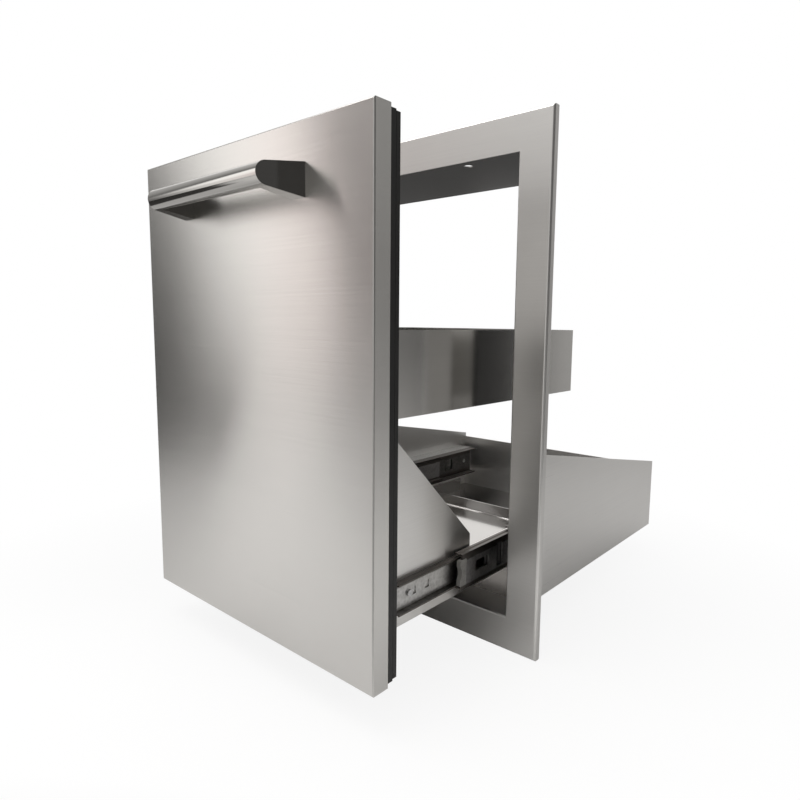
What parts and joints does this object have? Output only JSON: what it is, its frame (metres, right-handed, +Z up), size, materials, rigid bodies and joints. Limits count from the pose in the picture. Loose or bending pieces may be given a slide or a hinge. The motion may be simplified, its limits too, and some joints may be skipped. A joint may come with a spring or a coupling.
{
  "type": "built-in trash drawer",
  "caption": "Stainless pull-out trash drawer for an outdoor kitchen: flanged face frame and low housing, sealed door with bar handle, bin ring and tray on telescopic ball-bearing slides.",
  "frame": {"origin": "centre of the island's cut-out, in the plane of the island's face that the flange seats on", "axes": "+X right as seen from the front, +Y back into the island, +Z up"},
  "size_m": [0.508, 0.773, 0.648],
  "materials": {
    "brushed_stainless": "brushed",
    "zinc_plated_steel": "bright zinc plating",
    "cage_strip": "cold rolled",
    "ball_steel": "polished",
    "fastener_steel": "plated",
    "bumper_plastic": "matt",
    "seal_rubber": "matt"
  },
  "bodies": {
    "housing": {"face_frame": "brushed_stainless", "top_panel": "brushed_stainless", "side_panel_left": "brushed_stainless", "side_panel_right": "brushed_stainless", "floor_panel": "brushed_stainless", "rear_panel": "brushed_stainless", "slide_mount_left": "zinc_plated_steel", "slide_mount_right": "zinc_plated_steel", "slide_outer_left": "zinc_plated_steel", "slide_outer_right": "zinc_plated_steel", "slide_outer_screws": "fastener_steel", "slide_outer_nuts": "fastener_steel"},
    "drawer": {"door_skin": "brushed_stainless", "door_liner": "brushed_stainless", "door_gasket": "seal_rubber", "handle_bar": "brushed_stainless", "handle_bracket_left": "brushed_stainless", "handle_bracket_right": "brushed_stainless", "handle_screws": "fastener_steel", "bin_ring": "brushed_stainless", "drawer_side_left": "brushed_stainless", "drawer_side_right": "brushed_stainless", "drawer_floor": "brushed_stainless", "drawer_screws": "fastener_steel", "drawer_nuts": "fastener_steel", "slide_inner_left": "zinc_plated_steel", "slide_inner_right": "zinc_plated_steel", "slide_inner_screws": "fastener_steel", "slide_inner_nuts": "fastener_steel"},
    "left_middle": {"slide_middle_left": "zinc_plated_steel", "slide_bumper_left": "bumper_plastic"},
    "left_outer_cage": {"outer_cage_left": "cage_strip", "outer_balls_left": "ball_steel"},
    "left_inner_cage": {"inner_cage_left": "cage_strip", "inner_balls_left": "ball_steel"},
    "right_middle": {"slide_middle_right": "zinc_plated_steel", "slide_bumper_right": "bumper_plastic"},
    "right_outer_cage": {"outer_cage_right": "cage_strip", "outer_balls_right": "ball_steel"},
    "right_inner_cage": {"inner_cage_right": "cage_strip", "inner_balls_right": "ball_steel"}
  },
  "joints": [
    {"name": "drawer_slide", "type": "slide", "parent": "housing", "child": "drawer", "axis": [0, -1, 0], "range_m": [-0.231, 0.169]},
    {"name": "left_middle_slide", "type": "slide", "parent": "housing", "child": "left_middle", "axis": [0, -1, 0], "range_m": [-0.1156, 0.0846]},
    {"name": "left_outer_cage_slide", "type": "slide", "parent": "housing", "child": "left_outer_cage", "axis": [0, -1, 0], "range_m": [-0.05785, 0.04235]},
    {"name": "left_inner_cage_slide", "type": "slide", "parent": "housing", "child": "left_inner_cage", "axis": [0, -1, 0], "range_m": [-0.17335, 0.12685]},
    {"name": "right_middle_slide", "type": "slide", "parent": "housing", "child": "right_middle", "axis": [0, -1, 0], "range_m": [-0.1156, 0.0846]},
    {"name": "right_outer_cage_slide", "type": "slide", "parent": "housing", "child": "right_outer_cage", "axis": [0, -1, 0], "range_m": [-0.05785, 0.04235]},
    {"name": "right_inner_cage_slide", "type": "slide", "parent": "housing", "child": "right_inner_cage", "axis": [0, -1, 0], "range_m": [-0.17335, 0.12685]}
  ],
  "couplings": [
    {"joint": "left_middle_slide", "follows": "drawer_slide", "ratio": 0.5},
    {"joint": "left_outer_cage_slide", "follows": "drawer_slide", "ratio": 0.25},
    {"joint": "left_inner_cage_slide", "follows": "drawer_slide", "ratio": 0.75},
    {"joint": "right_middle_slide", "follows": "drawer_slide", "ratio": 0.5},
    {"joint": "right_outer_cage_slide", "follows": "drawer_slide", "ratio": 0.25},
    {"joint": "right_inner_cage_slide", "follows": "drawer_slide", "ratio": 0.75}
  ]
}
